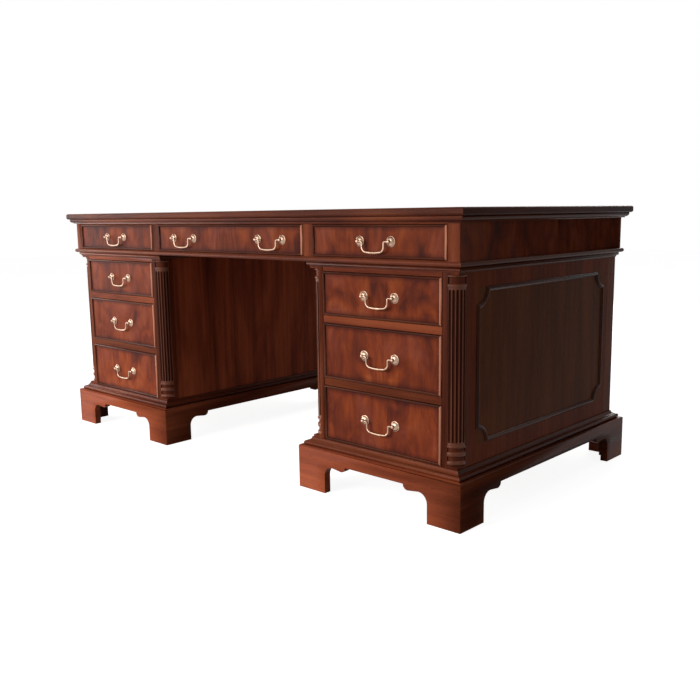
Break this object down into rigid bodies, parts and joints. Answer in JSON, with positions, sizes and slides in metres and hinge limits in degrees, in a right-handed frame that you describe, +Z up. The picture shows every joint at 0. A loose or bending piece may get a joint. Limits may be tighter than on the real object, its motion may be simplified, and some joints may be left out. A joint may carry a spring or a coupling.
{
  "type": "pedestal writing desk",
  "caption": "Georgian-style mahogany pedestal writing desk with cock-beaded drawers, fluted quarter columns, bracket feet and brass swan-neck handles; drawers slide and bails swing",
  "frame": {"origin": "on the floor, under the middle of the top", "axes": "X along the front to the sitter's right, -Y towards the sitter, Z up"},
  "size_m": [1.8, 0.9, 0.79],
  "materials": {
    "mahogany": "polished",
    "figured_mahogany": "polished",
    "oak_lining": "plain",
    "brass": "polished"
  },
  "bodies": {
    "carcass": {"top_board": "mahogany", "top_moulding": "mahogany", "frieze_front": "mahogany", "frieze_aprons": "mahogany", "frieze_runners": "oak_lining", "waist_moulding": "mahogany", "neck_mouldings": "mahogany", "left_frame": "mahogany", "left_side_panels": "mahogany", "left_back_panel": "mahogany", "left_runners": "oak_lining", "left_columns": "mahogany", "left_panel_mouldings": "mahogany", "left_base_moulding": "mahogany", "left_plinth": "mahogany", "right_frame": "mahogany", "right_side_panels": "mahogany", "right_back_panel": "mahogany", "right_runners": "oak_lining", "right_columns": "mahogany", "right_panel_mouldings": "mahogany", "right_base_moulding": "mahogany", "right_plinth": "mahogany"},
    "frieze_left_drawer": {"frieze_left_drawer_front": "figured_mahogany", "frieze_left_drawer_box": "oak_lining", "frieze_left_handle_posts": "brass"},
    "frieze_left_bail": {"frieze_left_bail": "brass"},
    "frieze_centre_drawer": {"frieze_centre_drawer_front": "figured_mahogany", "frieze_centre_drawer_box": "oak_lining", "frieze_centre_handle_posts": "brass"},
    "frieze_centre_left_bail": {"frieze_centre_left_bail": "brass"},
    "frieze_centre_right_bail": {"frieze_centre_right_bail": "brass"},
    "frieze_right_drawer": {"frieze_right_drawer_front": "figured_mahogany", "frieze_right_drawer_box": "oak_lining", "frieze_right_handle_posts": "brass"},
    "frieze_right_bail": {"frieze_right_bail": "brass"},
    "left_top_drawer": {"left_top_drawer_front": "figured_mahogany", "left_top_drawer_box": "oak_lining", "left_top_handle_posts": "brass"},
    "left_top_bail": {"left_top_bail": "brass"},
    "left_middle_drawer": {"left_middle_drawer_front": "figured_mahogany", "left_middle_drawer_box": "oak_lining", "left_middle_handle_posts": "brass"},
    "left_middle_bail": {"left_middle_bail": "brass"},
    "left_bottom_drawer": {"left_bottom_drawer_front": "figured_mahogany", "left_bottom_drawer_box": "oak_lining", "left_bottom_handle_posts": "brass"},
    "left_bottom_bail": {"left_bottom_bail": "brass"},
    "right_top_drawer": {"right_top_drawer_front": "figured_mahogany", "right_top_drawer_box": "oak_lining", "right_top_handle_posts": "brass"},
    "right_top_bail": {"right_top_bail": "brass"},
    "right_middle_drawer": {"right_middle_drawer_front": "figured_mahogany", "right_middle_drawer_box": "oak_lining", "right_middle_handle_posts": "brass"},
    "right_middle_bail": {"right_middle_bail": "brass"},
    "right_bottom_drawer": {"right_bottom_drawer_front": "figured_mahogany", "right_bottom_drawer_box": "oak_lining", "right_bottom_handle_posts": "brass"},
    "right_bottom_bail": {"right_bottom_bail": "brass"}
  },
  "joints": [
    {"name": "frieze_left_slide", "type": "slide", "parent": "carcass", "child": "frieze_left_drawer", "axis": [0, -1, 0], "range_m": [0, 0.45]},
    {"name": "frieze_centre_slide", "type": "slide", "parent": "carcass", "child": "frieze_centre_drawer", "axis": [0, -1, 0], "range_m": [0, 0.45]},
    {"name": "frieze_right_slide", "type": "slide", "parent": "carcass", "child": "frieze_right_drawer", "axis": [0, -1, 0], "range_m": [0, 0.45]},
    {"name": "left_top_slide", "type": "slide", "parent": "carcass", "child": "left_top_drawer", "axis": [0, -1, 0], "range_m": [0, 0.45]},
    {"name": "left_middle_slide", "type": "slide", "parent": "carcass", "child": "left_middle_drawer", "axis": [0, -1, 0], "range_m": [0, 0.45]},
    {"name": "left_bottom_slide", "type": "slide", "parent": "carcass", "child": "left_bottom_drawer", "axis": [0, -1, 0], "range_m": [0, 0.45]},
    {"name": "right_top_slide", "type": "slide", "parent": "carcass", "child": "right_top_drawer", "axis": [0, -1, 0], "range_m": [0, 0.45]},
    {"name": "right_middle_slide", "type": "slide", "parent": "carcass", "child": "right_middle_drawer", "axis": [0, -1, 0], "range_m": [0, 0.45]},
    {"name": "right_bottom_slide", "type": "slide", "parent": "carcass", "child": "right_bottom_drawer", "axis": [0, -1, 0], "range_m": [0, 0.45]},
    {"name": "frieze_left_bail_hinge", "type": "hinge", "parent": "frieze_left_drawer", "child": "frieze_left_bail", "pos_m": [-0.61, -0.435, 0.707], "axis": [-1, 0, 0], "range_deg": [-12, 110]},
    {"name": "frieze_centre_left_bail_hinge", "type": "hinge", "parent": "frieze_centre_drawer", "child": "frieze_centre_left_bail", "pos_m": [-0.207, -0.435, 0.707], "axis": [-1, 0, 0], "range_deg": [-12, 110]},
    {"name": "frieze_centre_right_bail_hinge", "type": "hinge", "parent": "frieze_centre_drawer", "child": "frieze_centre_right_bail", "pos_m": [0.207, -0.435, 0.707], "axis": [-1, 0, 0], "range_deg": [-12, 110]},
    {"name": "frieze_right_bail_hinge", "type": "hinge", "parent": "frieze_right_drawer", "child": "frieze_right_bail", "pos_m": [0.61, -0.435, 0.707], "axis": [-1, 0, 0], "range_deg": [-12, 110]},
    {"name": "left_top_bail_hinge", "type": "hinge", "parent": "left_top_drawer", "child": "left_top_bail", "pos_m": [-0.612, -0.425, 0.563], "axis": [-1, 0, 0], "range_deg": [-12, 110]},
    {"name": "left_middle_bail_hinge", "type": "hinge", "parent": "left_middle_drawer", "child": "left_middle_bail", "pos_m": [-0.612, -0.425, 0.40375], "axis": [-1, 0, 0], "range_deg": [-12, 110]},
    {"name": "left_bottom_bail_hinge", "type": "hinge", "parent": "left_bottom_drawer", "child": "left_bottom_bail", "pos_m": [-0.612, -0.425, 0.227], "axis": [-1, 0, 0], "range_deg": [-12, 110]},
    {"name": "right_top_bail_hinge", "type": "hinge", "parent": "right_top_drawer", "child": "right_top_bail", "pos_m": [0.612, -0.425, 0.563], "axis": [-1, 0, 0], "range_deg": [-12, 110]},
    {"name": "right_middle_bail_hinge", "type": "hinge", "parent": "right_middle_drawer", "child": "right_middle_bail", "pos_m": [0.612, -0.425, 0.40375], "axis": [-1, 0, 0], "range_deg": [-12, 110]},
    {"name": "right_bottom_bail_hinge", "type": "hinge", "parent": "right_bottom_drawer", "child": "right_bottom_bail", "pos_m": [0.612, -0.425, 0.227], "axis": [-1, 0, 0], "range_deg": [-12, 110]}
  ]
}
